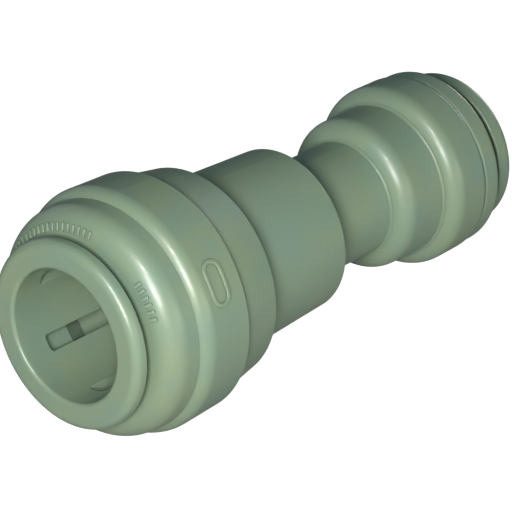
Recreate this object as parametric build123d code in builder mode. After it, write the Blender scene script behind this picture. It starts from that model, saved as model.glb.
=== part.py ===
"""Straight reducing push-fit coupling for 15 mm and 10 mm tube, in millimetres.

The coupling is a turned shape about the X axis, with the large end towards -X.  The
origin is on the axis, halfway between the outer faces of the two collets.  Each end is
drawn in its own plane: local x is the depth into the coupling, measured from the face
of that end's cap, and local y is the radius.
"""

from build123d import *
import os
from dataclasses import dataclass

os.makedirs("parts", exist_ok=True)

# ---------------------------------------------------------------- outer lengths along X
half_length = 32.2          # origin to the outer face of either collet
large_head_gap = 1.2        # cap face to the back of the collet head, at rest
small_head_gap = 1.5
large_head_length = 1.7     # collet head of the large end
small_head_length = 2.4
large_boss_length = 4.1     # round-edged boss on the front of the large cap
large_ring_length = 7.3     # widest ring of the large cap
collar_length = 6.1         # first step of the body, behind the large cap
barrel_length = 14.4        # second step of the body
neck_length = 10.8          # waist between the two ends
shoulder_length = 6.6       # first step of the small end
small_ring_length = 5.6     # widest step of the small end
small_flange_length = 2.7   # visible rim of the small cap

# ---------------------------------------------------------------- outer radii
boss_radius = 13.22
large_ring_front, large_ring_back = 14.2, 13.9      # moulding draft along each step
collar_front, collar_back = 13.3, 12.2
barrel_front, barrel_back = 10.3, 9.55
neck_front, neck_back = 6.85, 6.75
shoulder_front, shoulder_back = 8.95, 8.95
small_ring_inner, small_ring_outer = 10.8, 10.69
small_flange_radius = 10.5

# ---------------------------------------------------------------- rounded edges
boss_rounding = 2.6
large_ring_rounding = 1.8
ring_slope = 0.55           # axial run of the slanted front of the widest ring
ring_land = 0.15            # straight run between the boss and that slanted front
shoulder_rounding = 2.0
small_ring_rounding = 1.8
step_rounding = 0.25        # crisp moulded edges of the steps
inner_rounding = 0.3        # edges inside the bores
flange_rounding = 0.7       # front edge of the small cap's rim
flange_back_rounding = 0.45
ring_back_rounding = 0.5    # back edge of the small end's widest step

# ---------------------------------------------------------------- fits
tube_clearance = 0.15       # radial, tube to socket
collet_play = 0.10          # radial, collet barrel to cap mouth
seal_clearance = 0.12       # radial, tube to O-ring and teeth as a tube holds them open
bore_relief = 0.05          # radial, collet bore to tube socket
seat_relief = 0.03          # radial, O-ring to its seat
water_way_radius = 3.9      # passage between the two tube stops

# ---------------------------------------------------------------- collet fingers and teeth
finger_gap = 0.25           # cone start to the start of the fingers' bulge
bulge_gap = 0.4             # cone end to the full bulge
bulge_clearance = 0.15      # radial, bulge to the widest part of the cone
tip_taper_length = 0.5      # lead-in on the fingers' inner tips
tip_taper_rise = 0.6
bore_edge_rounding = 0.45   # outer edge of the collet's bore, and ends of its slots
groove_overcut = 0.5        # how far the teeth's groove runs inside the collet's bore
tooth_thickness = 0.4
tooth_share = 0.55          # part of each finger's pitch that its tooth covers
seal_shift = 0.1            # O-ring rests this far behind the middle of its seat
sleeve_land = 0.4           # cylindrical end of the small cap's cone


@dataclass
class End:
    """Everything that differs between the two ends."""

    name: str
    inward: int               # +1 where depth runs towards +X, -1 where towards -X
    tube_radius: float
    head_gap: float
    head_length: float
    head_radius: float
    head_rounding: float
    wall: float               # collet wall between its bore and the cap mouth
    cone_start: float         # depth at which the cap's gripping cone begins
    cone_end: float
    cone_rise: float          # growth of the cone's radius between the two
    finger_end: float         # depth of the collet's inner tips
    slot_count: int
    slot_width: float
    slot_start: float         # depth at which the slots begin
    slot_phase: float         # degrees from +Z towards +Y
    tooth_depth: float        # depth of the root of the grip teeth
    tooth_reach: float        # radial height of a tooth
    tooth_lean: float         # depth gained from root to tip
    seat_start: float         # depth of the O-ring seat
    seat_end: float
    seal_section: float       # diameter of the O-ring's cord
    stop: float               # depth of the tube stop

    @property
    def face_x(self):
        return -self.inward * (half_length - self.head_length - self.head_gap)

    @property
    def plane(self):
        return Plane(
            origin=(self.face_x, 0, 0),
            x_dir=(self.inward, 0, 0),
            z_dir=(0, -self.inward, 0),
        )

    @property
    def socket_radius(self):
        return self.tube_radius + tube_clearance

    @property
    def bore_radius(self):
        return self.socket_radius + bore_relief

    @property
    def barrel_radius(self):
        return self.bore_radius + self.wall

    @property
    def mouth_radius(self):
        return self.barrel_radius + collet_play

    @property
    def cone_radius(self):
        return self.mouth_radius + self.cone_rise

    @property
    def tip_radius(self):
        return self.tube_radius + seal_clearance

    @property
    def seat_radius(self):
        return self.tip_radius + self.seal_section + seat_relief


large = End(
    name="large", inward=1, tube_radius=7.5,
    head_gap=large_head_gap, head_length=large_head_length, head_radius=10.85,
    head_rounding=1.0, wall=1.25,
    cone_start=5.2, cone_end=8.2, cone_rise=1.55, finger_end=11.1,
    slot_count=6, slot_width=2.0, slot_start=0.9, slot_phase=6.0,
    tooth_depth=8.9, tooth_reach=1.45, tooth_lean=0.85,
    seat_start=12.5, seat_end=15.4, seal_section=2.4, stop=27.0,
)
small = End(
    name="small", inward=-1, tube_radius=5.0,
    head_gap=small_head_gap, head_length=small_head_length, head_radius=9.2,
    head_rounding=1.1, wall=1.15,
    cone_start=4.4, cone_end=7.1, cone_rise=1.3, finger_end=9.4,
    slot_count=6, slot_width=1.6, slot_start=0.9, slot_phase=0.0,
    tooth_depth=7.3, tooth_reach=1.25, tooth_lean=0.7,
    seat_start=10.9, seat_end=13.2, seal_section=1.9, stop=20.0,
)

# The large cap's skirt slides over the body's spigot; the small cap's sleeve goes
# inside the body.
skirt_radius = 11.9         # inside of the skirt, outside of the spigot
spigot_start = 8.3          # depth of the spigot's end in the large cap
large_chamber_radius = 10.95
sleeve_radius = 9.2
sleeve_end = 6.8
small_chamber_radius = 7.9


def outline(end, *corners):
    """Closed half-section of one end; a corner is (depth, radius) or adds its rounding."""
    points = [corner[:2] for corner in corners]
    roundings = [corner[2] if len(corner) > 2 else 0 for corner in corners]
    with BuildSketch(end.plane) as section:
        with BuildLine():
            FilletPolyline(*points, radius=roundings, close=True)
        make_face()
    return section.sketch


def save(builder, label):
    """Name a finished sub-part and write it as its own STEP file."""
    builder.part.label = label
    export_step(builder.part, f"parts/{label}.step")


def make_collet(end):
    """Slotted gripping sleeve: a round-edged head, a plain barrel and sprung fingers."""
    head_back = -end.head_gap
    head_face = head_back - end.head_length
    fingers_begin = end.cone_start + finger_gap
    bulge_begin = end.cone_end + bulge_gap
    bulge_radius = end.cone_radius - bulge_clearance
    length = end.finger_end - end.slot_start
    with BuildPart() as collet:
        revolve(
            outline(
                end,
                (head_face, end.bore_radius, bore_edge_rounding),
                (head_face, end.head_radius, end.head_rounding),
                (head_back, end.head_radius, step_rounding),
                (head_back, end.barrel_radius, inner_rounding),
                (fingers_begin, end.barrel_radius),
                (bulge_begin, bulge_radius, inner_rounding),
                (end.finger_end - tip_taper_length, bulge_radius),
                (end.finger_end, bulge_radius - tip_taper_rise),
                (end.finger_end, end.bore_radius),
            ),
            axis=Axis.X,
        )
        # the groove that holds the roots of the grip teeth
        groove = tooth_outline(end, end.tip_radius - groove_overcut)
        revolve(groove, axis=Axis.X, mode=Mode.SUBTRACT)
        # one slot between each pair of fingers, open at the inner tips
        pitch = 360 / end.slot_count
        for index in range(end.slot_count):
            radial = Axis.Z.direction.rotate(Axis.X, -end.slot_phase - index * pitch)
            slot_plane = Plane(
                origin=end.plane.from_local_coords(Vector(end.slot_start + length, 0, 0)),
                x_dir=(1, 0, 0),
                z_dir=radial,
            )
            with BuildSketch(slot_plane):
                RectangleRounded(2 * length, end.slot_width, bore_edge_rounding)
            extrude(amount=end.head_radius, mode=Mode.SUBTRACT)
    save(collet, f"{end.name}_collet")


def tooth_outline(end, tip):
    """Slanted section of the grip teeth, from their roots in the collet to radius tip."""
    root = end.tip_radius + end.tooth_reach
    slope = end.tooth_lean / end.tooth_reach
    lean = slope * (root - tip)
    return outline(
        end,
        (end.tooth_depth, root),
        (end.tooth_depth + tooth_thickness, root),
        (end.tooth_depth + tooth_thickness + lean, tip),
        (end.tooth_depth + lean, tip),
    )


def make_grip_teeth(end):
    """Stainless teeth, one in each finger of the collet."""
    pitch = 360 / end.slot_count
    arc = pitch * tooth_share
    with BuildPart() as teeth:
        for index in range(end.slot_count):
            # each tooth sits halfway between two slots
            finish = end.slot_phase + index * pitch + (pitch + arc) / 2
            section = tooth_outline(end, end.tip_radius).rotate(Axis.X, -finish)
            revolve(section, axis=Axis.X, revolution_arc=arc)
    save(teeth, f"{end.name}_grip_teeth")


def make_o_ring(end):
    """Round-section seal resting in the body behind the collet."""
    cord_radius = end.seal_section / 2
    middle = (end.seat_start + end.seat_end) / 2 + seal_shift
    with BuildPart() as o_ring:
        with BuildSketch(end.plane):
            with Locations((middle, end.tip_radius + cord_radius)):
                Circle(cord_radius)
        revolve(axis=Axis.X)
    save(o_ring, f"{end.name}_o_ring")


def make_large_cap():
    """Cap of the large end: boss, widest ring, gripping cone and skirt in one moulding."""
    end = large
    ring_front = large_boss_length + ring_land
    ring_back = large_boss_length + large_ring_length
    with BuildPart() as cap:
        revolve(
            outline(
                end,
                (0, end.mouth_radius, inner_rounding),
                (0, boss_radius, boss_rounding),
                (ring_front, boss_radius),
                (ring_front + ring_slope, large_ring_front, large_ring_rounding),
                (ring_back, large_ring_back, step_rounding),
                (ring_back, skirt_radius),
                (end.cone_end, skirt_radius),
                (end.cone_end, end.cone_radius),
                (end.cone_start, end.mouth_radius),
            ),
            axis=Axis.X,
        )
    save(cap, "large_cap")


def make_small_cap():
    """Cap of the small end: a rim against the body and a coned sleeve inside it."""
    end = small
    with BuildPart() as cap:
        revolve(
            outline(
                end,
                (0, end.mouth_radius, inner_rounding),
                (0, small_flange_radius, flange_rounding),
                (small_flange_length, small_flange_radius, flange_back_rounding),
                (small_flange_length, sleeve_radius),
                (sleeve_end, sleeve_radius),
                (sleeve_end, end.cone_radius),
                (end.cone_end - sleeve_land, end.cone_radius),
                (end.cone_start, end.mouth_radius),
            ),
            axis=Axis.X,
        )
    save(cap, "small_cap")


def bore_outline(end, *mouth):
    """Hollow of one end of the body: mouth corners, O-ring seat and tube socket."""
    return outline(
        end,
        (mouth[0][0], 0),
        *mouth,
        (end.seat_start, mouth[-1][1]),
        (end.seat_start, end.seat_radius),
        (end.seat_end, end.seat_radius),
        (end.seat_end, end.socket_radius, inner_rounding),
        (end.stop, end.socket_radius),
        (end.stop, 0),
    )


def make_body():
    """Body moulding: collar, barrel, neck and the two steps of the small end."""
    collar_start = large_boss_length + large_ring_length
    collar_end = collar_start + collar_length
    barrel_end = collar_end + barrel_length
    neck_end = barrel_end + neck_length
    shoulder_end = neck_end + shoulder_length
    ring_end = shoulder_end + small_ring_length
    with BuildPart() as body:
        revolve(
            outline(
                large,
                (spigot_start, 0),
                (spigot_start, skirt_radius),
                (collar_start, skirt_radius),
                (collar_start, collar_front),
                (collar_end, collar_back, step_rounding),
                (collar_end, barrel_front, inner_rounding),
                (barrel_end, barrel_back, step_rounding),
                (barrel_end, neck_front, inner_rounding),
                (neck_end, neck_back, inner_rounding),
                (neck_end, shoulder_front, shoulder_rounding),
                (shoulder_end, shoulder_back, inner_rounding),
                (shoulder_end, small_ring_inner, small_ring_rounding),
                (ring_end, small_ring_outer, ring_back_rounding),
                (ring_end, 0),
            ),
            axis=Axis.X,
        )
        revolve(
            bore_outline(large, (spigot_start, large_chamber_radius)),
            axis=Axis.X,
            mode=Mode.SUBTRACT,
        )
        revolve(
            bore_outline(
                small,
                (small_flange_length, sleeve_radius),
                (sleeve_end, sleeve_radius),
                (sleeve_end, small_chamber_radius),
            ),
            axis=Axis.X,
            mode=Mode.SUBTRACT,
        )
        # the water way joins the two tube stops
        with BuildSketch(Plane.YZ.offset(large.face_x + large.stop)):
            Circle(water_way_radius)
        extrude(
            amount=small.face_x - small.stop - (large.face_x + large.stop),
            mode=Mode.SUBTRACT,
        )
    save(body, "body")


make_body()
make_large_cap()
make_small_cap()
for end in (large, small):
    make_collet(end)
    make_grip_teeth(end)
    make_o_ring(end)
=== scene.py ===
"""Finish and studio for a straight reducing push-fit coupling.

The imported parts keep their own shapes.  This file gives them their moulded, pressed and
rubber finishes, adds the small raised marks of the large cap, and sets up the studio.
"""

import math
from collections import namedtuple

import bmesh
import bpy
from bpy.props import (
    BoolProperty,
    FloatProperty,
    FloatVectorProperty,
    IntProperty,
    PointerProperty,
)
from mathutils import Matrix, Vector


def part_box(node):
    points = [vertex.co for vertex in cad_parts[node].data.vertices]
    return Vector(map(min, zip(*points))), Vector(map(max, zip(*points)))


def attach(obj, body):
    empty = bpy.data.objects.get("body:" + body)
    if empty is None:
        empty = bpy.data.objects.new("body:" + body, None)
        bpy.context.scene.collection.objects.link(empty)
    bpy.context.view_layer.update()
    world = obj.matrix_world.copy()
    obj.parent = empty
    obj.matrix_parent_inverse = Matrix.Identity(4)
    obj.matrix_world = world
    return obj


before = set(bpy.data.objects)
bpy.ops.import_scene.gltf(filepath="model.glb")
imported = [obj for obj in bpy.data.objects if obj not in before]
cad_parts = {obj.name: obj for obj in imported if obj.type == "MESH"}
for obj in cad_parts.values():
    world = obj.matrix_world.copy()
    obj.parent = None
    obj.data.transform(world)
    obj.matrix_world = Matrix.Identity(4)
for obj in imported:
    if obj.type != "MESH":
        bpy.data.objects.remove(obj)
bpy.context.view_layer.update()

bl_info = {
    "name": "Push-fit coupling finish",
    "version": (1, 0, 0),
    "blender": (4, 5, 0),
    "location": "View3D > Sidebar > Coupling",
    "description": "Moulded finishes, mould marks and studio for a push-fit coupling",
    "category": "Object",
}

CAP_FACE_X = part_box("large_cap")[0].x      # the large cap's face, along the axis
MM = 0.001
NODE_CELL = (220, -200)                    # spacing of the node grid in the editor
WELD = 1e-7                                # points closer than this are one
SENSOR_WIDTH = 36                          # millimetres, as Blender's lens setting expects
CAMERA_REACH = (0.01, 20)
FLOOR_SIZE = 3.0
FLOOR_CELLS = 8
STATION_DIGITS = 5                         # stations along the axis, to a hundredth of a mm

ACETAL_NODES = {
    "body": "body_acetal",
    "large_cap": "cap_acetal",
    "small_cap": "cap_acetal",
    "large_collet": "collet_acetal",
    "small_collet": "collet_acetal",
}
# The crease shade share sets how far painted shade darkens the colour in the steps and under the
# collet heads.
ACETAL_SHARES = {                          # roughness shift, crease shade, grain relief
    "body_acetal": (0.0, 0.55, 0.30),
    "cap_acetal": (-0.03, 0.50, 0.26),
    "collet_acetal": (-0.04, 0.35, 0.22),
}
STEEL_NODES = ("large_grip_teeth", "small_grip_teeth")
RUBBER_NODES = ("large_o_ring", "small_o_ring")

# Shared effects: the bands are the parts of a noise that count, from none to full.
FLOW_STRETCH = (0.55, 1.0, 1.0)
WARM_BAND = (0.45, 0.66)
COOL_BAND = (0.47, 0.68)
COOL_SHIFT = (0.31, 0.17, 0.23)
RIPPLE_SHARE = 0.12                        # the ripple's scale against the grain's
GRAIN_BAND = (0.3, 0.7)
SCRATCH_RUNS = (                           # turn and stretch of each set of hairlines
    ((0.4, 0.2, 0.7), (0.06, 1.0, 1.0)),
    ((1.3, 0.5, 2.1), (1.0, 0.05, 1.0)),
)
SCRATCH_WIDTH = 0.003
SCRATCH_PLACES = 95.0                      # scale of the places where scratches gather
SCRATCH_BAND = (0.56, 0.70)
PECK_BAND = (0.06, 0.20)
PECK_RARITY = 0.93                         # part of the cells that stay free of a peck
CREASE_BAND = (0.45, 0.92)

# Noises, as detail, roughness and distortion.
BROAD_DRIFT = (2.0, 0.45, 0.6)
OTHER_DRIFT = (2.0, 0.5, 0.3)
GRAIN_NOISE = (3.0, 0.6)
RIPPLE_NOISE = (1.5, 0.4)
HAIRLINE_NOISE = (4.0, 0.55, 0.4)
PLACES_NOISE = (1.0, 0.4)
DRAWN_NOISE = (5.0, 0.7)
HEAT_NOISE = (2.0, 0.5)
FIBRE_NOISE = (4.0, 0.6)
MIDDLE = 0.5                               # a noise's middle value
CREASE_SAMPLES = 8

# Where a group is given no scale of its own; scales are patterns per metre.
GROUP_SCALES = {
    "Patch scale": 160.0,
    "Grain scale": 2200.0,
    "Scratch scale": 240.0,
    "Peck scale": 420.0,
    "Reach": 0.0007,
}

# Spring steel.
DRAW_STRETCH = (6.0, 1.0, 1.0)
DRAW_SCALE = 1800.0
HEAT_SCALE = 300.0
HEAT_BAND = (0.4, 0.7)
STEEL_COLOUR = (0.60, 0.60, 0.59)
HEAT_TINT = (0.47, 0.44, 0.40)
STEEL_ROUGHNESS = (0.2, 0.38)
DRAW_RELIEF = (0.35, 0.00001)

# Seal rubber.
RUBBER_GRAIN_SCALE = 1600.0
DUST_SCALE = 900.0
BLOOM_BAND = (0.42, 0.66)
BLOOM_SHOW = 0.7
RUBBER_COLOUR = (0.014, 0.014, 0.015)
BLOOM_COLOUR = (0.045, 0.046, 0.048)
DUST_COLOUR = (0.16, 0.16, 0.15)
DUST_SHOW = 0.4
RUBBER_ROUGHNESS = (0.42, 0.60)
RUBBER_RELIEF = (0.4, 0.00002)

# Floor paper.
FIBRE_SCALE = 900.0
FIBRE_SHADE = 0.985
PAPER_ROUGHNESS = 0.85

# Mould marks: parts of a mark's height that are sunk in the cap or taken by its bevel.
BAR_SUNK = 0.6
BAR_BEVEL = 0.42
PAD_SUNK = 0.9
PAD_BEVEL = 0.55
PAD_ARC_STEPS = 12
PAD_STRAIGHT_CUTS = 11
STEEP = 0.5                                # a side wall's normal has less than this upwards

# Acetal: share of each effect in the colour, the gloss and the relief.
SCRATCH_TINT = (0.46, 0.54, 0.45)
SCRATCH_SHOW = 0.10
SCRATCH_DULL = 0.10
SCRATCH_DEPTH = 0.5                        # against a peck's height
PECK_TINT = (0.34, 0.42, 0.33)
PECK_SHOW = 0.35
CREASE_DULL = 0.2
SATIN_SPREAD = (-0.035, 0.045)
RIPPLE_RELIEF = (0.16, 0.00006)            # strength and height of each relief
GRAIN_HEIGHT = 0.000016
MARK_RELIEF = (0.5, 0.00003)


Lamp = namedtuple("Lamp", "name size azimuth elevation distance tint glint_only")
LAMPS = (                                  # metres and degrees
    Lamp("key", 0.02, -61.36, 42.99, 0.50, (1.00, 0.99, 0.96), True),
    Lamp("front", 0.10, -56, 22, 0.28, (1.00, 0.99, 0.94), False),
    Lamp("low", 0.40, 10, 5, 0.60, (0.96, 1.00, 0.93), False),
    Lamp("end", 0.30, 100, 8, 0.60, (1.00, 0.99, 0.95), False),
    Lamp("back", 0.50, 170, 10, 0.60, (0.90, 0.98, 1.00), False),
)


# ------------------------------------------------------------------ settings


class AcetalFinish(bpy.types.PropertyGroup):
    """Colours and surface of the moulded acetal."""

    base: FloatVectorProperty(
        name="Base", description="Main grey-green of the moulding",
        subtype="COLOR", size=3, min=0, max=1, default=(0.258, 0.352, 0.246),
    )
    warm: FloatVectorProperty(
        name="Warm patches", description="Yellower green where the melt cooled last",
        subtype="COLOR", size=3, min=0, max=1, default=(0.276, 0.358, 0.234),
    )
    cool: FloatVectorProperty(
        name="Cool patches", description="Bluer green where the melt cooled first",
        subtype="COLOR", size=3, min=0, max=1, default=(0.238, 0.344, 0.262),
    )
    # Painted shade: the acetal is darkened towards this colour where ambient occlusion finds another
    # surface close by, in the steps and under the collet heads; it stands for shade, not dirt.
    painted_shade_colour: FloatVectorProperty(
        name="Crease shade", description="Fine dirt that gathers in the steps",
        subtype="COLOR", size=3, min=0, max=1, default=(0.040, 0.068, 0.050),
    )
    roughness: FloatProperty(
        name="Roughness", description="Satin gloss of the moulded skin",
        subtype="FACTOR", min=0, max=1, default=0.41,
    )
    ior: FloatProperty(
        name="IOR", description="Refractive index of acetal", min=1, max=2, default=1.48,
    )
    specular: FloatProperty(
        name="Specular", description="Strength of the broad sheen",
        subtype="FACTOR", min=0, max=1, default=0.7,
    )
    coat: FloatProperty(
        name="Skin", description="Share of the smooth moulded skin that gives sharp glints",
        subtype="FACTOR", min=0, max=1, default=0.13,
    )
    coat_roughness: FloatProperty(
        name="Skin roughness", description="Roughness of that skin",
        subtype="FACTOR", min=0, max=1, default=0.17,
    )
    glow_through: FloatProperty(
        name="Glow", description="Share of light that spreads inside the plastic",
        subtype="FACTOR", min=0, max=1, default=0.06,
    )
    glow_tint: FloatVectorProperty(
        name="Glow reach by colour", description="How far each colour spreads, against the rest",
        size=3, min=0, default=(0.7, 1.0, 0.6),
    )
    glow_depth: FloatProperty(
        name="Glow depth", description="How far light spreads inside the plastic",
        unit="LENGTH", min=0, default=0.8 * MM,
    )
    patch_size: FloatProperty(
        name="Patch size", description="Typical width of a colour patch",
        unit="LENGTH", min=0.0005, max=0.05, default=0.006,
    )
    grain_size: FloatProperty(
        name="Grain size", description="Width of the fine moulded grain",
        unit="LENGTH", min=0.00005, max=0.005, default=0.00045,
    )


class MouldMarks(bpy.types.PropertyGroup):
    """The small raised marks on the large cap."""

    bar_count: IntProperty(
        name="Bars", description="Raised index bars in the long row", min=1, default=19,
    )
    short_count: IntProperty(
        name="Bars in the short row", description="Raised index bars in the short row",
        min=1, default=6,
    )
    bar_pitch: FloatProperty(
        name="Bar pitch", description="Angle between two bars",
        subtype="ANGLE", default=math.radians(4.0),
    )
    long_start: FloatProperty(
        name="Long row start", description="Angle of the first bar, from up towards +Y",
        subtype="ANGLE", default=math.radians(-6.0),
    )
    short_start: FloatProperty(
        name="Short row start", description="Angle of the first bar of the short row",
        subtype="ANGLE", default=math.radians(294.0),
    )
    bar_length: FloatProperty(
        name="Bar length", description="Radial length of a bar",
        unit="LENGTH", default=0.95 * MM,
    )
    bar_width: FloatProperty(
        name="Bar width", description="Width of a bar round the axis",
        unit="LENGTH", default=0.42 * MM,
    )
    bar_height: FloatProperty(
        name="Bar height", description="How far a bar stands out of the cap",
        unit="LENGTH", default=0.20 * MM,
    )
    bar_radius: FloatProperty(
        name="Row radius", description="Distance of the bars from the axis",
        unit="LENGTH", default=11.45 * MM,
    )
    boss_radius: FloatProperty(
        name="Boss radius", description="Outside of the large cap's boss",
        unit="LENGTH", default=13.22 * MM,
    )
    boss_rounding: FloatProperty(
        name="Boss rounding", description="Rounded front edge of the boss",
        unit="LENGTH", default=2.6 * MM,
    )
    pad_length: FloatProperty(
        name="Pad length", description="Length of the blank size pad round the ring",
        unit="LENGTH", default=5.4 * MM,
    )
    pad_width: FloatProperty(
        name="Pad width", description="Width of the blank size pad along the axis",
        unit="LENGTH", default=2.7 * MM,
    )
    pad_line: FloatProperty(
        name="Pad line", description="Width of the pad's raised line",
        unit="LENGTH", default=0.50 * MM,
    )
    pad_height: FloatProperty(
        name="Pad height", description="How far the pad's line stands out",
        unit="LENGTH", default=0.20 * MM,
    )
    pad_angle: FloatProperty(
        name="Pad angle", description="Middle of the pad, from up towards +Y",
        subtype="ANGLE", default=math.radians(298.5),
    )
    pad_depth: FloatProperty(
        name="Pad depth", description="Middle of the pad behind the cap's face",
        unit="LENGTH", default=7.8 * MM,
    )


class StudioSettings(bpy.types.PropertyGroup):
    """Camera, lights and floor."""

    azimuth: FloatProperty(
        name="Azimuth", description="Camera's turn round the object; 0 looks along +Y",
        subtype="ANGLE", default=math.radians(-47.64),
    )
    elevation: FloatProperty(
        name="Elevation", description="Camera's height over the horizon",
        subtype="ANGLE", default=math.radians(26.95),
    )
    distance: FloatProperty(
        name="Distance", description="Camera to the aim point",
        unit="LENGTH", default=0.4464,
    )
    lens: FloatProperty(
        name="Lens", description="Focal length in millimetres", default=281.25,
    )
    aim: FloatVectorProperty(
        name="Aim", description="Point in the middle of the picture",
        subtype="XYZ", unit="LENGTH", size=3,
        default=(-1.53 * MM, 0.25 * MM, -1.90 * MM),
    )
    floor_colour: FloatVectorProperty(
        name="Floor", description="Paper of the floor",
        subtype="COLOR", size=3, min=0, max=1, default=(0.26, 0.26, 0.26),
    )
    floor_glow: FloatProperty(
        name="Floor glow", description="Light passing up through the paper to the object",
        min=0, default=0.05,
    )
    floor_white: FloatProperty(
        name="Floor white", description="How far the paper burns out to white in the picture",
        min=0, default=1.02,
    )
    sky: FloatVectorProperty(
        name="Room", description="Dim light of the room",
        subtype="COLOR", size=3, min=0, max=1, default=(0.022, 0.050, 0.066),
    )
    key_energy: FloatProperty(
        name="Key", description="Small bright light over the camera", min=0, default=1.00,
    )
    front_energy: FloatProperty(
        name="Front", description="Soft light close over the camera", min=0, default=0.76,
    )
    low_energy: FloatProperty(
        name="Low", description="Broad soft light from below right", min=0, default=1.00,
    )
    end_energy: FloatProperty(
        name="End fill", description="Soft light on the small end's face", min=0, default=0.80,
    )
    back_energy: FloatProperty(
        name="Back fill", description="Weak soft light from behind", min=0, default=0.25,
    )
    show_floor: BoolProperty(
        name="Show the floor", description="Lay the sheet under the coupling", default=True,
    )


# ------------------------------------------------------------------ node helpers


def add_node(tree, kind, place, **values):
    """A node at a grid place, with its own settings."""
    node = tree.nodes.new(kind)
    node.location = (place[0] * NODE_CELL[0], place[1] * NODE_CELL[1])
    for name, value in values.items():
        setattr(node, name, value)
    return node


def feed(tree, source, target):
    """Join an output socket to an input socket, or set the input's own value."""
    if hasattr(source, "is_output"):
        tree.links.new(source, target)
    else:
        target.default_value = source


def maths(tree, operation, first, second, place):
    node = add_node(tree, "ShaderNodeMath", place, operation=operation)
    feed(tree, first, node.inputs[0])
    feed(tree, second, node.inputs[1])
    return node.outputs[0]


def spread(tree, value, low, high, place, to_low=0.0, to_high=1.0):
    """Stretch the part of a value between low and high over a new range, clamped."""
    node = add_node(tree, "ShaderNodeMapRange", place, clamp=True)
    feed(tree, value, node.inputs["Value"])
    for socket, number in (
        ("From Min", low), ("From Max", high), ("To Min", to_low), ("To Max", to_high),
    ):
        feed(tree, number, node.inputs[socket])
    return node.outputs["Result"]


def mix_colour(tree, factor, first, second, place):
    node = add_node(tree, "ShaderNodeMix", place, data_type="RGBA")
    feed(tree, factor, node.inputs[0])
    for source, target in ((first, node.inputs[6]), (second, node.inputs[7])):
        feed(tree, source if hasattr(source, "is_output") else (*source, 1.0), target)
    return node.outputs[2]


def noise(tree, coordinates, scale, place, detail, roughness, distortion=0.0):
    node = add_node(tree, "ShaderNodeTexNoise", place)
    feed(tree, coordinates, node.inputs["Vector"])
    feed(tree, scale, node.inputs["Scale"])
    feed(tree, detail, node.inputs["Detail"])
    feed(tree, roughness, node.inputs["Roughness"])
    feed(tree, distortion, node.inputs["Distortion"])
    return node.outputs["Fac"]


def new_group(name, inputs, outputs):
    """An empty shader node group with the named number inputs and outputs."""
    tree = bpy.data.node_groups.new(name, "ShaderNodeTree")
    for label in inputs:
        socket = tree.interface.new_socket(label, in_out="INPUT", socket_type="NodeSocketFloat")
        socket.default_value = GROUP_SCALES[label]
    for label in outputs:
        tree.interface.new_socket(label, in_out="OUTPUT", socket_type="NodeSocketFloat")
    entry = add_node(tree, "NodeGroupInput", (-6, 0))
    leave = add_node(tree, "NodeGroupOutput", (6, 0))
    return tree, entry.outputs, leave.inputs


def place_group(tree, name, place, **values):
    node = add_node(tree, "ShaderNodeGroup", place, node_tree=bpy.data.node_groups[name])
    for label, value in values.items():
        feed(tree, value, node.inputs[label.replace("_", " ").capitalize()])
    return node.outputs


def finish_name(slot):
    """The finish made here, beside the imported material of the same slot."""
    return f"{slot}_finish"


def new_material(name):
    """A finish with an empty Principled shader; returns its tree and shader."""
    material = bpy.data.materials.new(finish_name(name))
    material.use_nodes = True
    tree = material.node_tree
    tree.nodes.clear()
    output = add_node(tree, "ShaderNodeOutputMaterial", (5, 0))
    shader = add_node(tree, "ShaderNodeBsdfPrincipled", (3, 0))
    tree.links.new(shader.outputs[0], output.inputs[0])
    return tree, shader


def bump(tree, height, strength, distance, place, normal=None):
    node = add_node(tree, "ShaderNodeBump", place)
    feed(tree, height, node.inputs["Height"])
    feed(tree, strength, node.inputs["Strength"])
    feed(tree, distance, node.inputs["Distance"])
    if normal is not None:
        feed(tree, normal, node.inputs["Normal"])
    return node.outputs["Normal"]


# ------------------------------------------------------------------ shared effects


def make_melt_patches():
    """Slow colour drift of a moulded part, drawn out along the axis by the melt's flow."""
    tree, given, result = new_group("melt_patches", ("Patch scale",), ("Warm", "Cool"))
    where = add_node(tree, "ShaderNodeTexCoord", (-6, 2)).outputs["Object"]
    drawn = add_node(tree, "ShaderNodeMapping", (-5, 2))
    feed(tree, where, drawn.inputs["Vector"])
    drawn.inputs["Scale"].default_value = FLOW_STRETCH
    broad = noise(tree, drawn.outputs[0], given["Patch scale"], (-3, 1), *BROAD_DRIFT)
    shifted = add_node(tree, "ShaderNodeMapping", (-5, 4))
    feed(tree, where, shifted.inputs["Vector"])
    shifted.inputs["Location"].default_value = COOL_SHIFT
    other = noise(tree, shifted.outputs[0], given["Patch scale"], (-3, 3), *OTHER_DRIFT)
    tree.links.new(spread(tree, broad, *WARM_BAND, (0, 1)), result["Warm"])
    tree.links.new(spread(tree, other, *COOL_BAND, (0, 3)), result["Cool"])


def make_fine_grain():
    """Fine moulded grain, with a slower ripple under it."""
    tree, given, result = new_group("fine_grain", ("Grain scale",), ("Grain", "Ripple"))
    where = add_node(tree, "ShaderNodeTexCoord", (-6, 2)).outputs["Object"]
    fine = noise(tree, where, given["Grain scale"], (-3, 1), *GRAIN_NOISE)
    tree.links.new(fine, result["Grain"])
    slow = maths(tree, "MULTIPLY", given["Grain scale"], RIPPLE_SHARE, (-5, 3))
    tree.links.new(noise(tree, where, slow, (-3, 3), *RIPPLE_NOISE), result["Ripple"])


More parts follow.
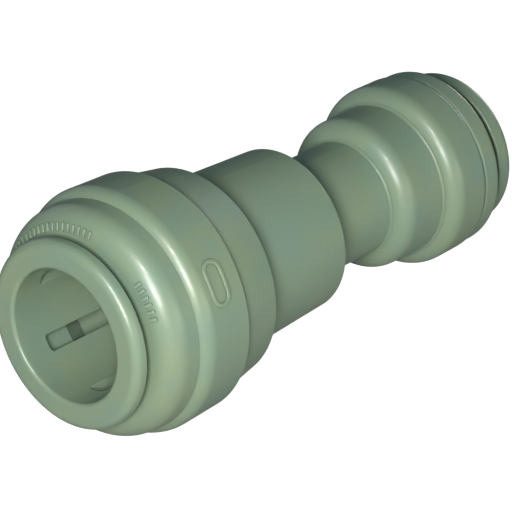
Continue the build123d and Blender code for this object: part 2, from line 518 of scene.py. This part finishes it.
def make_handling_scuffs():
    """Thin hairline scratches in two directions, and small pecks from the tote bin."""
    tree, given, result = new_group(
        "handling_scuffs", ("Scratch scale", "Peck scale"), ("Scratch", "Peck"),
    )
    where = add_node(tree, "ShaderNodeTexCoord", (-6, 2)).outputs["Object"]
    lines = []
    for row, (turn, stretch) in enumerate(SCRATCH_RUNS):
        mapping = add_node(tree, "ShaderNodeMapping", (-5, row * 2))
        feed(tree, where, mapping.inputs["Vector"])
        mapping.inputs["Rotation"].default_value = turn
        mapping.inputs["Scale"].default_value = stretch
        wander = noise(
            tree, mapping.outputs[0], given["Scratch scale"], (-4, row * 2), *HAIRLINE_NOISE
        )
        centred = maths(tree, "SUBTRACT", wander, MIDDLE, (-3, row * 2))
        distance = maths(tree, "ABSOLUTE", centred, 0.0, (-2, row * 2))
        lines.append(spread(tree, distance, 0.0, SCRATCH_WIDTH, (-1, row * 2), 1.0, 0.0))
    rare = noise(tree, where, SCRATCH_PLACES, (-3, 5), *PLACES_NOISE)
    held = spread(tree, rare, *SCRATCH_BAND, (-1, 5))
    either = maths(tree, "MAXIMUM", lines[0], lines[1], (1, 1))
    tree.links.new(maths(tree, "MULTIPLY", either, held, (2, 1)), result["Scratch"])
    cells = add_node(tree, "ShaderNodeTexVoronoi", (-3, 7))
    feed(tree, where, cells.inputs["Vector"])
    feed(tree, given["Peck scale"], cells.inputs["Scale"])
    dots = spread(tree, cells.outputs["Distance"], *PECK_BAND, (-1, 7), 1.0, 0.0)
    sparse = add_node(tree, "ShaderNodeSeparateColor", (-2, 9))
    feed(tree, cells.outputs["Color"], sparse.inputs[0])
    chosen = maths(tree, "GREATER_THAN", sparse.outputs[0], PECK_RARITY, (0, 9))
    tree.links.new(maths(tree, "MULTIPLY", dots, chosen, (2, 7)), result["Peck"])


def make_crease_shade():
    """Painted shade mask: where another surface stands close, as in the steps and under the collet
    heads.
    """
    tree, given, result = new_group("crease_shade", ("Reach",), ("Crease",))
    near = add_node(tree, "ShaderNodeAmbientOcclusion", (-3, 0), samples=CREASE_SAMPLES)
    feed(tree, given["Reach"], near.inputs["Distance"])
    crease = spread(tree, near.outputs["AO"], *CREASE_BAND, (0, 0), 1.0, 0.0)
    tree.links.new(crease, result["Crease"])


# ------------------------------------------------------------------ finishes


def make_acetal(name, settings, roughness_shift, crease_strength, grain_strength):
    """Satin acetal: colour drift, fine grain, hairline scuffs, pecks and painted shade in the steps.
    """
    tree, shader = new_material(name)
    patches = place_group(tree, "melt_patches", (-4, 0), patch_scale=1 / settings.patch_size)
    grain = place_group(tree, "fine_grain", (-4, 2), grain_scale=1 / settings.grain_size)
    scuffs = place_group(tree, "handling_scuffs", (-4, 4))
    crease = place_group(tree, "crease_shade", (-4, 6))["Crease"]

    warmed = mix_colour(tree, patches["Warm"], settings.base, settings.warm, (-2, 0))
    cooled = mix_colour(tree, patches["Cool"], warmed, settings.cool, (-1, 0))
    pale = mix_colour(
        tree, maths(tree, "MULTIPLY", scuffs["Scratch"], SCRATCH_SHOW, (-1, 2)),
        cooled, SCRATCH_TINT, (0, 0),
    )
    speck = mix_colour(
        tree, maths(tree, "MULTIPLY", scuffs["Peck"], PECK_SHOW, (0, 2)),
        pale, PECK_TINT, (1, 0),
    )
    # Painted shade: the crease mask darkens the colour in the steps and under the collet heads,
    # where shade falls.
    shade = maths(tree, "MULTIPLY", crease, crease_strength, (0, 6))
    colour = mix_colour(tree, shade, speck, settings.painted_shade_colour, (2, 0))
    tree.links.new(colour, shader.inputs["Base Color"])

    satin = settings.roughness + roughness_shift
    gloss = [satin + part for part in SATIN_SPREAD]
    worked = spread(tree, grain["Grain"], *GRAIN_BAND, (-1, 3), *gloss)
    rubbed = maths(tree, "MULTIPLY", scuffs["Scratch"], SCRATCH_DULL, (0, 4))
    dull = maths(tree, "MULTIPLY", crease, CREASE_DULL, (0, 5))
    rough = maths(tree, "ADD", maths(tree, "ADD", worked, rubbed, (1, 3)), dull, (2, 3))
    tree.links.new(rough, shader.inputs["Roughness"])

    ripple = bump(tree, grain["Ripple"], *RIPPLE_RELIEF, (0, 7))
    grained = bump(tree, grain["Grain"], grain_strength, GRAIN_HEIGHT, (1, 7), ripple)
    marks = maths(
        tree, "SUBTRACT", scuffs["Peck"],
        maths(tree, "MULTIPLY", scuffs["Scratch"], SCRATCH_DEPTH, (0, 8)), (1, 8),
    )
    tree.links.new(bump(tree, marks, *MARK_RELIEF, (2, 7), grained), shader.inputs["Normal"])

    shader.inputs["IOR"].default_value = settings.ior
    shader.inputs["Specular IOR Level"].default_value = settings.specular
    shader.inputs["Coat Weight"].default_value = settings.coat
    shader.inputs["Coat Roughness"].default_value = settings.coat_roughness
    shader.inputs["Subsurface Weight"].default_value = settings.glow_through
    shader.inputs["Subsurface Radius"].default_value = settings.glow_tint
    shader.inputs["Subsurface Scale"].default_value = settings.glow_depth


def make_spring_steel():
    """Pressed stainless strip: drawn grain with a faint heat tint."""
    tree, shader = new_material("stainless")
    where = add_node(tree, "ShaderNodeTexCoord", (-5, 0)).outputs["Object"]
    drawn = add_node(tree, "ShaderNodeMapping", (-4, 0))
    feed(tree, where, drawn.inputs["Vector"])
    drawn.inputs["Scale"].default_value = DRAW_STRETCH
    lines = noise(tree, drawn.outputs[0], DRAW_SCALE, (-3, 0), *DRAWN_NOISE)
    tint = noise(tree, where, HEAT_SCALE, (-3, 2), *HEAT_NOISE)
    colour = mix_colour(
        tree, spread(tree, tint, *HEAT_BAND, (-1, 2)), STEEL_COLOUR, HEAT_TINT, (0, 0),
    )
    tree.links.new(colour, shader.inputs["Base Color"])
    rough = spread(tree, lines, *GRAIN_BAND, (0, 1), *STEEL_ROUGHNESS)
    tree.links.new(rough, shader.inputs["Roughness"])
    tree.links.new(bump(tree, lines, *DRAW_RELIEF, (1, 2)), shader.inputs["Normal"])
    shader.inputs["Metallic"].default_value = 1.0


def make_seal_rubber():
    """Nitrile rubber: near black, with a grey bloom and specks of dust."""
    tree, shader = new_material("seal_rubber")
    grain = place_group(tree, "fine_grain", (-4, 0), grain_scale=RUBBER_GRAIN_SCALE)
    scuffs = place_group(tree, "handling_scuffs", (-4, 2), peck_scale=DUST_SCALE)
    bloom = spread(tree, grain["Ripple"], *BLOOM_BAND, (-2, 0), 0.0, BLOOM_SHOW)
    greyed = mix_colour(tree, bloom, RUBBER_COLOUR, BLOOM_COLOUR, (0, 0))
    dust = maths(tree, "MULTIPLY", scuffs["Peck"], DUST_SHOW, (-1, 2))
    dusty = mix_colour(tree, dust, greyed, DUST_COLOUR, (1, 0))
    rough = spread(tree, grain["Grain"], *GRAIN_BAND, (0, 2), *RUBBER_ROUGHNESS)
    tree.links.new(dusty, shader.inputs["Base Color"])
    tree.links.new(rough, shader.inputs["Roughness"])
    tree.links.new(bump(tree, grain["Grain"], *RUBBER_RELIEF, (1, 2)), shader.inputs["Normal"])


def dress(node_names, slot):
    """Give CAD nodes a finish in place of their packed one."""
    for name in node_names:
        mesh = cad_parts[name].data
        mesh.materials.clear()
        mesh.materials.append(bpy.data.materials[finish_name(slot)])


# ------------------------------------------------------------------ shapes


def around_axis(angle):
    """Turn about the coupling's axis that carries +Z to the angle, towards +Y."""
    return Matrix.Rotation(-angle, 4, "X")


def finish_piece(shape, name, body, slot):
    """Turn a bmesh into an object at the origin that rides on a body."""
    bmesh.ops.remove_doubles(shape, verts=shape.verts, dist=WELD)
    bmesh.ops.recalc_face_normals(shape, faces=shape.faces)
    mesh = bpy.data.meshes.new(name)
    shape.to_mesh(mesh)
    shape.free()
    mesh.shade_smooth()
    piece = bpy.data.objects.new(name, mesh)
    bpy.context.scene.collection.objects.link(piece)
    mesh.materials.append(bpy.data.materials[finish_name(slot)])
    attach(piece, body)
    return piece


def add_bar(shape, marks, angle):
    """One raised bar on the rounded edge of the boss, pointing away from the axis."""
    flat_radius = marks.boss_radius - marks.boss_rounding
    lean = math.asin((marks.bar_radius - flat_radius) / marks.boss_rounding)
    depth = marks.boss_rounding * (1 - math.cos(lean))
    made = bmesh.ops.create_cube(shape, size=1.0)["verts"]
    size = Matrix.Diagonal((marks.bar_height * (1 + BAR_SUNK), marks.bar_width, marks.bar_length, 1))
    bmesh.ops.transform(shape, matrix=size, verts=made)
    edges = list({edge for vert in made for edge in vert.link_edges})
    rounded = bmesh.ops.bevel(
        shape, geom=edges, offset=marks.bar_height * BAR_BEVEL, affect="EDGES",
        segments=2, profile=0.5, material=-1,
    )
    whole = list({vert for face in rounded["faces"] for vert in face.verts})
    stand = Matrix.Translation((
        CAP_FACE_X + depth - marks.bar_height * (1 - BAR_SUNK) / 2, 0, marks.bar_radius,
    ))
    tilt = Matrix.Rotation(lean, 4, "Y")
    bmesh.ops.transform(shape, matrix=around_axis(angle) @ stand @ tilt, verts=whole)


def oblong(shape, length, width):
    """Add a closed oblong loop of edges in the XY plane, long along Y, and return it."""
    before = set(shape.edges)
    ring = bmesh.ops.create_circle(
        shape, cap_ends=False, radius=width / 2, segments=PAD_ARC_STEPS * 2,
    )["verts"]
    bmesh.ops.rotate(
        shape, verts=ring, matrix=Matrix.Rotation(math.pi / PAD_ARC_STEPS / 2, 3, "Z"),
    )
    reach = (length - width) / 2
    for vert in ring:
        vert.co.y += math.copysign(reach, vert.co.y)
    long_edges = [
        edge for edge in {edge for vert in ring for edge in vert.link_edges}
        if edge.verts[0].co.y * edge.verts[1].co.y < 0
    ]
    bmesh.ops.subdivide_edges(shape, edges=long_edges, cuts=PAD_STRAIGHT_CUTS)
    return [edge for edge in shape.edges if edge not in before]


def make_size_pad(marks):
    """A raised oblong line round a blank pad, wrapped on the widest ring of the cap."""
    shape = bmesh.new()
    outer = oblong(shape, marks.pad_length, marks.pad_width)
    inner = oblong(
        shape, marks.pad_length - 2 * marks.pad_line, marks.pad_width - 2 * marks.pad_line,
    )
    top = bmesh.ops.bridge_loops(shape, edges=outer + inner)["faces"]
    raised = bmesh.ops.extrude_face_region(shape, geom=top)["geom"]
    lifted = [item for item in raised if isinstance(item, bmesh.types.BMVert)]
    sunk = marks.pad_height * PAD_SUNK
    bmesh.ops.translate(shape, verts=lifted, vec=(0, 0, marks.pad_height + sunk))
    top_edges = [
        edge for edge in shape.edges
        if all(vert in lifted for vert in edge.verts) and len(edge.link_faces) == 2
        and any(abs(face.normal.z) < STEEP for face in edge.link_faces)
    ]
    bmesh.ops.bevel(
        shape, geom=top_edges, offset=marks.pad_height * PAD_BEVEL, affect="EDGES",
        segments=3, profile=0.5, material=-1,
    )
    ring_radius = ring_radius_at(marks)
    for vert in shape.verts:
        angle = vert.co.y / ring_radius
        radius = ring_radius - sunk + vert.co.z
        along = CAP_FACE_X + marks.pad_depth + vert.co.x
        vert.co = around_axis(marks.pad_angle + angle) @ Vector((along, 0, radius))
    return finish_piece(shape, "cap_size_pad", "housing", "cap_acetal")


def ring_radius_at(marks):
    """Radius of the widest ring where the pad stands, read from the cap's own mesh."""
    station = CAP_FACE_X + marks.pad_depth
    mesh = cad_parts["large_cap"].data
    tree = bmesh.new()
    tree.from_mesh(mesh)
    cut = bmesh.ops.bisect_plane(
        tree, geom=tree.verts[:] + tree.edges[:] + tree.faces[:],
        plane_co=(station, 0, 0), plane_no=(1, 0, 0),
    )["geom_cut"]
    radius = max(
        math.hypot(item.co.y, item.co.z) for item in cut if isinstance(item, bmesh.types.BMVert)
    )
    tree.free()
    return radius


# ------------------------------------------------------------------ operators


class COUPLING_OT_effects(bpy.types.Operator):
    """Build the shared surface effects"""

    bl_idname = "coupling.effects"
    bl_label = "Shared surface effects"

    def execute(self, context):
        make_melt_patches()
        make_fine_grain()
        make_handling_scuffs()
        make_crease_shade()
        return {"FINISHED"}


class COUPLING_OT_acetal(bpy.types.Operator):
    """Finish the body, caps and collets in satin acetal"""

    bl_idname = "coupling.acetal"
    bl_label = "Acetal mouldings"

    def execute(self, context):
        settings = context.scene.coupling_acetal
        for name, shares in ACETAL_SHARES.items():
            make_acetal(name, settings, *shares)
        for node, material in ACETAL_NODES.items():
            dress([node], material)
        return {"FINISHED"}


class COUPLING_OT_steel(bpy.types.Operator):
    """Finish the grip teeth in spring stainless steel"""

    bl_idname = "coupling.steel"
    bl_label = "Grip teeth"

    def execute(self, context):
        make_spring_steel()
        dress(STEEL_NODES, "stainless")
        return {"FINISHED"}


class COUPLING_OT_rubber(bpy.types.Operator):
    """Finish the O-rings in nitrile rubber"""

    bl_idname = "coupling.rubber"
    bl_label = "O-rings"

    def execute(self, context):
        make_seal_rubber()
        dress(RUBBER_NODES, "seal_rubber")
        return {"FINISHED"}


class COUPLING_OT_index_bars(bpy.types.Operator):
    """Add the two rows of raised index bars round the large cap's face"""

    bl_idname = "coupling.index_bars"
    bl_label = "Index bars"

    def execute(self, context):
        marks = context.scene.coupling_marks
        shape = bmesh.new()
        rows = ((marks.long_start, marks.bar_count), (marks.short_start, marks.short_count))
        for start, count in rows:
            for index in range(count):
                add_bar(shape, marks, start + index * marks.bar_pitch)
        finish_piece(shape, "cap_index_bars", "housing", "cap_acetal")
        return {"FINISHED"}


class COUPLING_OT_size_pad(bpy.types.Operator):
    """Add the blank raised size pad on the widest ring"""

    bl_idname = "coupling.size_pad"
    bl_label = "Size pad"

    def execute(self, context):
        make_size_pad(context.scene.coupling_marks)
        return {"FINISHED"}


def direction(azimuth, elevation):
    """From the object towards a viewer; azimuth 0 stands at -Y."""
    return Vector((
        math.sin(azimuth) * math.cos(elevation),
        -math.cos(azimuth) * math.cos(elevation),
        math.sin(elevation),
    ))


def add_lamp(lamp, energy):
    """A round lamp that faces the object and stays out of the picture itself."""
    light = bpy.data.lights.new(lamp.name, "AREA")
    light.shape = "DISK"
    light.size = lamp.size
    light.energy = energy
    light.color = lamp.tint
    towards = direction(math.radians(lamp.azimuth), math.radians(lamp.elevation))
    stand = bpy.data.objects.new(lamp.name, light)
    stand.location = towards * lamp.distance
    stand.rotation_euler = towards.to_track_quat("Z", "Y").to_euler()
    stand.visible_diffuse = not lamp.glint_only
    stand.visible_camera = False
    bpy.context.scene.collection.objects.link(stand)


def add_camera(studio):
    back = direction(studio.azimuth, studio.elevation)
    camera = bpy.data.cameras.new("camera")
    camera.lens = studio.lens
    camera.sensor_width = SENSOR_WIDTH
    camera.clip_start, camera.clip_end = CAMERA_REACH
    holder = bpy.data.objects.new("camera", camera)
    holder.location = Vector(studio.aim) + back * studio.distance
    holder.rotation_euler = back.to_track_quat("Z", "Y").to_euler()
    bpy.context.scene.collection.objects.link(holder)
    bpy.context.scene.camera = holder


def make_floor_paper(studio):
    """Plain pale paper, lit a little from underneath."""
    tree, shader = new_material("floor_paper")
    where = add_node(tree, "ShaderNodeTexCoord", (-3, 0)).outputs["Object"]
    fibre = noise(tree, where, FIBRE_SCALE, (-2, 0), *FIBRE_NOISE)
    colour = tuple(studio.floor_colour)
    shaded = mix_colour(tree, fibre, colour, tuple(part * FIBRE_SHADE for part in colour), (0, 0))
    tree.links.new(shaded, shader.inputs["Base Color"])
    shader.inputs["Roughness"].default_value = PAPER_ROUGHNESS
    shader.inputs["Emission Color"].default_value = (1, 1, 1, 1)
    seen = add_node(tree, "ShaderNodeLightPath", (-2, 3)).outputs["Is Camera Ray"]
    glow = spread(tree, seen, 0.0, 1.0, (0, 3), studio.floor_glow, studio.floor_white)
    tree.links.new(glow, shader.inputs["Emission Strength"])


def outline_stations():
    """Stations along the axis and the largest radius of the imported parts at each."""
    widest = {}
    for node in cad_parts.values():
        for vert in node.data.vertices:
            place = node.matrix_world @ vert.co
            station = round(place.x, STATION_DIGITS)
            widest[station] = max(widest.get(station, 0.0), math.hypot(place.y, place.z))
    return sorted(widest.items())


def resting_edge(stations):
    """The two stations, either side of the origin, that a flat floor touches."""
    hull = []
    for point in stations:
        while len(hull) > 1:
            (x0, r0), (x1, r1) = hull[-2:]
            if (r1 - r0) * (point[0] - x0) > (point[1] - r0) * (x1 - x0):
                break
            hull.pop()
        hull.append(point)
    return next(pair for pair in zip(hull, hull[1:]) if pair[0][0] <= 0 <= pair[1][0])


def add_floor(studio):
    """A large sheet that touches the widest ring of each end."""
    (large_x, large_radius), (small_x, small_radius) = resting_edge(outline_stations())
    slope = math.atan2(large_radius - small_radius, small_x - large_x)
    shape = bmesh.new()
    bmesh.ops.create_grid(
        shape, x_segments=FLOOR_CELLS, y_segments=FLOOR_CELLS, size=FLOOR_SIZE,
    )
    bmesh.ops.transform(
        shape,
        matrix=Matrix.Translation((large_x, 0, -large_radius)) @ Matrix.Rotation(-slope, 4, "Y"),
        verts=shape.verts,
    )
    mesh = bpy.data.meshes.new("floor")
    shape.to_mesh(mesh)
    shape.free()
    make_floor_paper(studio)
    mesh.materials.append(bpy.data.materials[finish_name("floor_paper")])
    floor = bpy.data.objects.new("floor", mesh)
    bpy.context.scene.collection.objects.link(floor)


def light_room(studio):
    """A dim room that the camera sees as white paper behind the floor."""
    world = bpy.data.worlds.new("room")
    world.use_nodes = True
    tree = world.node_tree
    tree.nodes.clear()
    output = add_node(tree, "ShaderNodeOutputWorld", (4, 0))
    dim = add_node(tree, "ShaderNodeBackground", (1, 0))
    dim.inputs["Color"].default_value = (*studio.sky, 1)
    white = add_node(tree, "ShaderNodeBackground", (1, 2))
    white.inputs["Color"].default_value = (1, 1, 1, 1)
    seen = add_node(tree, "ShaderNodeLightPath", (1, -3))
    chosen = add_node(tree, "ShaderNodeMixShader", (3, 0))
    tree.links.new(seen.outputs["Is Camera Ray"], chosen.inputs[0])
    tree.links.new(dim.outputs[0], chosen.inputs[1])
    tree.links.new(white.outputs[0], chosen.inputs[2])
    tree.links.new(chosen.outputs[0], output.inputs[0])
    bpy.context.scene.world = world


class COUPLING_OT_stage(bpy.types.Operator):
    """Set up the floor, the lights and the camera"""

    bl_idname = "coupling.stage"
    bl_label = "Studio"

    def execute(self, context):
        studio = context.scene.coupling_studio
        scene = context.scene
        scene.view_settings.view_transform = "Standard"
        scene.view_settings.look = "None"
        add_camera(studio)
        if studio.show_floor:
            add_floor(studio)
        light_room(studio)
        for lamp in LAMPS:
            add_lamp(lamp, getattr(studio, f"{lamp.name}_energy"))
        return {"FINISHED"}


class COUPLING_PT_panel(bpy.types.Panel):
    """The coupling's pieces and settings in the sidebar"""

    bl_label = "Push-fit coupling"
    bl_idname = "COUPLING_PT_panel"
    bl_space_type = "VIEW_3D"
    bl_region_type = "UI"
    bl_category = "Coupling"

    def draw(self, context):
        for operator in OPERATORS:
            self.layout.operator(operator.bl_idname)
        for group in (
            context.scene.coupling_acetal,
            context.scene.coupling_marks,
            context.scene.coupling_studio,
        ):
            box = self.layout.box()
            for name in group.__annotations__:
                box.prop(group, name)


OPERATORS = (
    COUPLING_OT_effects,
    COUPLING_OT_acetal,
    COUPLING_OT_steel,
    COUPLING_OT_rubber,
    COUPLING_OT_index_bars,
    COUPLING_OT_size_pad,
    COUPLING_OT_stage,
)
CLASSES = (AcetalFinish, MouldMarks, StudioSettings, *OPERATORS, COUPLING_PT_panel)


def register():
    for cls in CLASSES:
        bpy.utils.register_class(cls)
    bpy.types.Scene.coupling_acetal = PointerProperty(type=AcetalFinish)
    bpy.types.Scene.coupling_marks = PointerProperty(type=MouldMarks)
    bpy.types.Scene.coupling_studio = PointerProperty(type=StudioSettings)


def unregister():
    del bpy.types.Scene.coupling_studio
    del bpy.types.Scene.coupling_marks
    del bpy.types.Scene.coupling_acetal
    for cls in reversed(CLASSES):
        bpy.utils.unregister_class(cls)


def main():
    register()
    bpy.ops.coupling.effects()
    bpy.ops.coupling.acetal()
    bpy.ops.coupling.steel()
    bpy.ops.coupling.rubber()
    bpy.ops.coupling.index_bars()
    bpy.ops.coupling.size_pad()
    bpy.ops.coupling.stage()


if __name__ == "__main__":
    main()
